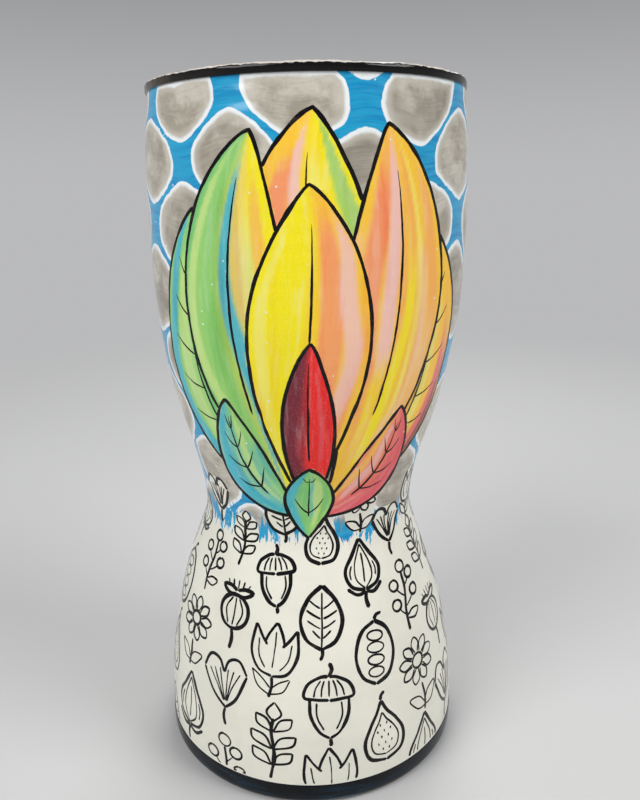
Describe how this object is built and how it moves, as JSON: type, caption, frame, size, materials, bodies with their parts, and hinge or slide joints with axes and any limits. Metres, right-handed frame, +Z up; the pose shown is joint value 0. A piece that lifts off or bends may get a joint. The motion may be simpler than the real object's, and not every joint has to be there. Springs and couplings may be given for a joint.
{
  "type": "vase",
  "caption": "Tall waisted ceramic vase with a cup-shaped upper body, a flared lower body, a dark lip coil and a dark foot ring.",
  "frame": {"origin": "centre of the foot's underside, on the surface that the vase stands on", "axes": "+Z up along the vase's axis of turning; -Y faces the viewer, at the middle of the painted front"},
  "size_m": [0.1912, 0.1912, 0.406],
  "materials": {
    "foot_glaze": "gloss, blue-black",
    "bare_clay": "matt, unglazed",
    "cream_glaze": "gloss clear glaze over cream slip",
    "painted_glaze": "gloss clear glaze over brushed colours",
    "lip_glaze": "gloss, black"
  },
  "bodies": {
    "root": {"foot_ring": "foot_glaze", "floor_slab": "bare_clay", "lower_wall": "cream_glaze", "upper_wall": "painted_glaze", "lip_coil": "lip_glaze"}
  },
  "joints": []
}
